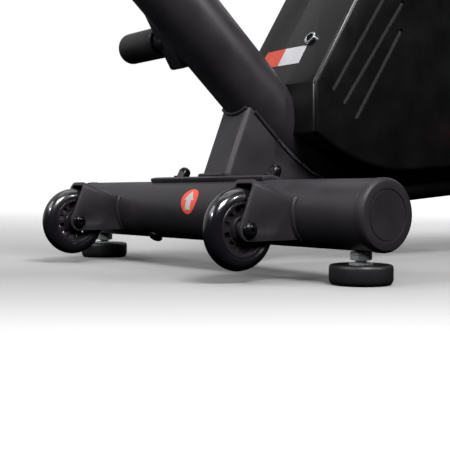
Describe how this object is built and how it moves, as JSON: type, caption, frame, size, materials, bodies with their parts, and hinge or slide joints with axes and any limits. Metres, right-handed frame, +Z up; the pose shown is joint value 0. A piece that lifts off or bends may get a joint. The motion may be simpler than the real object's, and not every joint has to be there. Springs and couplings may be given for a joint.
{
  "type": "exercise bike",
  "caption": "Upright magnetic exercise bike with a bent round frame tube, enclosed flywheel drive, transport wheels and levelling feet.",
  "frame": {"origin": "on the floor, below the middle of the bike's outer size", "axes": "+X towards the front of the bike, +Y to the rider's left, +Z up"},
  "size_m": [1.122, 0.5616, 1.2814],
  "materials": {
    "black_powder_coat": "satin black powder coat with a fine texture",
    "black_plastic": "matt moulded plastic",
    "black_rubber": "moulded rubber",
    "zinc_steel": "bright zinc plate",
    "tyre_polyurethane": "glossy cast polyurethane",
    "hub_plastic": "satin moulded plastic",
    "black_steel": "blackened steel",
    "knob_plastic": "matt moulded plastic",
    "gloss_housing": "semi-gloss black",
    "console_plastic": "semi-gloss black",
    "jack_metal": "nickel plate",
    "cast_iron": "turned and painted",
    "pulley_plastic": "glass filled nylon",
    "belt_rubber": "ribbed belt rubber",
    "pedal_plastic": "matt moulded plastic",
    "chrome_post": "chrome plate",
    "saddle_vinyl": "stitched vinyl over foam",
    "grip_foam": "closed cell foam"
  },
  "bodies": {
    "frame": {"front_stabiliser_tube": "black_powder_coat", "rear_stabiliser_tube": "black_powder_coat", "front_saddle_plate": "black_powder_coat", "front_pedestal": "black_powder_coat", "rear_pedestal": "black_powder_coat", "main_tube": "black_powder_coat", "mast_sleeve": "black_powder_coat", "mast": "black_powder_coat", "knob_boss": "black_powder_coat", "drive_bracket": "black_powder_coat", "seat_tube": "black_powder_coat", "left_wheel_fork": "black_powder_coat", "right_wheel_fork": "black_powder_coat", "front_left_end_cap": "black_plastic", "front_right_end_cap": "black_plastic", "rear_left_end_cap": "black_plastic", "rear_right_end_cap": "black_plastic", "front_left_lock_nut": "zinc_steel", "front_right_lock_nut": "zinc_steel", "rear_left_lock_nut": "zinc_steel", "rear_right_lock_nut": "zinc_steel", "left_wheel_axle_bolt": "black_steel", "right_wheel_axle_bolt": "black_steel", "front_left_fixing_bolt": "black_steel", "front_right_fixing_bolt": "black_steel", "front_left_cap_nut": "black_steel", "front_right_cap_nut": "black_steel", "seat_bushing": "knob_plastic", "handlebar_clamp": "knob_plastic", "left_housing": "gloss_housing", "right_housing": "gloss_housing", "power_jack": "jack_metal", "drive_belt": "belt_rubber"},
    "left_wheel": {"left_wheel_tyre": "tyre_polyurethane", "left_wheel_hub": "hub_plastic"},
    "right_wheel": {"right_wheel_tyre": "tyre_polyurethane", "right_wheel_hub": "hub_plastic"},
    "front_left_foot_screw": {"front_left_foot": "black_rubber"},
    "front_right_foot_screw": {"front_right_foot": "black_rubber"},
    "rear_left_foot_screw": {"rear_left_foot": "black_rubber"},
    "rear_right_foot_screw": {"rear_right_foot": "black_rubber"},
    "mast_clamp_knob": {"mast_knob": "knob_plastic"},
    "handlebar_assembly": {"handlebar": "black_powder_coat", "left_grip": "grip_foam", "right_grip": "grip_foam"},
    "console_head": {"console": "console_plastic"},
    "dial": {"console_dial": "knob_plastic"},
    "flywheel_rotor": {"flywheel": "cast_iron"},
    "crankset": {"crank_axle": "zinc_steel", "drive_pulley": "pulley_plastic", "left_crank": "black_powder_coat", "right_crank": "black_powder_coat"},
    "left_pedal_body": {"left_pedal": "pedal_plastic"},
    "right_pedal_body": {"right_pedal": "pedal_plastic"},
    "seat_pin": {"seat_post_pin": "knob_plastic"},
    "post": {"seat_post": "chrome_post"},
    "seat_top": {"seat_slider": "black_powder_coat", "saddle": "saddle_vinyl"},
    "slider_knob": {"seat_slider_knob": "knob_plastic"}
  },
  "joints": [
    {"name": "left_wheel_spin", "type": "hinge", "parent": "frame", "child": "left_wheel", "pos_m": [0.49403, 0.1688, 0.0525], "axis": [0, 1, 0], "continuous": true},
    {"name": "right_wheel_spin", "type": "hinge", "parent": "frame", "child": "right_wheel", "pos_m": [0.49403, -0.1688, 0.0525], "axis": [0, 1, 0], "continuous": true},
    {"name": "front_left_foot_height", "type": "slide", "parent": "frame", "child": "front_left_foot_screw", "axis": [0, 0, -1], "range_m": [0, 0.012]},
    {"name": "front_right_foot_height", "type": "slide", "parent": "frame", "child": "front_right_foot_screw", "axis": [0, 0, -1], "range_m": [0, 0.012]},
    {"name": "rear_left_foot_height", "type": "slide", "parent": "frame", "child": "rear_left_foot_screw", "axis": [0, 0, -1], "range_m": [0, 0.012]},
    {"name": "rear_right_foot_height", "type": "slide", "parent": "frame", "child": "rear_right_foot_screw", "axis": [0, 0, -1], "range_m": [0, 0.012]},
    {"name": "mast_knob_turn", "type": "hinge", "parent": "frame", "child": "mast_clamp_knob", "pos_m": [0.44063, -0.07, 0.2656], "axis": [0, -1, 0], "range_deg": [0, 360]},
    {"name": "handlebar_tilt", "type": "hinge", "parent": "frame", "child": "handlebar_assembly", "pos_m": [0.39742, 0, 1.08664], "axis": [0, 1, 0], "range_deg": [-20, 20]},
    {"name": "console_tilt", "type": "hinge", "parent": "frame", "child": "console_head", "pos_m": [0.44826, 0, 1.1682], "axis": [0, 1, 0], "range_deg": [-10, 10]},
    {"name": "console_dial_turn", "type": "hinge", "parent": "console_head", "child": "dial", "pos_m": [0.39557, 0, 1.2], "axis": [-0.6157, 0, 0.788], "range_deg": [-150, 150]},
    {"name": "crank_spin", "type": "hinge", "parent": "frame", "child": "crankset", "pos_m": [-0.08557, 0, 0.335], "axis": [0, 1, 0], "continuous": true},
    {"name": "flywheel_spin", "type": "hinge", "parent": "frame", "child": "flywheel_rotor", "pos_m": [0.07943, 0, 0.3], "axis": [0, 1, 0], "continuous": true},
    {"name": "left_pedal_spin", "type": "hinge", "parent": "crankset", "child": "left_pedal_body", "pos_m": [-0.08557, 0.145, 0.165], "axis": [0, 1, 0], "continuous": true},
    {"name": "right_pedal_spin", "type": "hinge", "parent": "crankset", "child": "right_pedal_body", "pos_m": [-0.08557, -0.145, 0.505], "axis": [0, 1, 0], "continuous": true},
    {"name": "seat_pin_pull", "type": "slide", "parent": "frame", "child": "seat_pin", "axis": [0, 1, 0], "range_m": [0, 0.01], "stiffness_N_per_m": 300},
    {"name": "seat_post_height", "type": "slide", "parent": "frame", "child": "post", "axis": [-0.2924, 0, 0.9563], "range_m": [-0.09, 0.12]},
    {"name": "seat_slide", "type": "slide", "parent": "post", "child": "seat_top", "axis": [1, 0, 0], "range_m": [-0.04, 0.04]},
    {"name": "seat_slider_knob_turn", "type": "hinge", "parent": "seat_top", "child": "slider_knob", "pos_m": [-0.38976, 0.03, 0.75847], "axis": [0, 1, 0], "range_deg": [0, 360]}
  ],
  "couplings": [
    {"joint": "flywheel_spin", "follows": "crank_spin", "ratio": 4.7727}
  ]
}
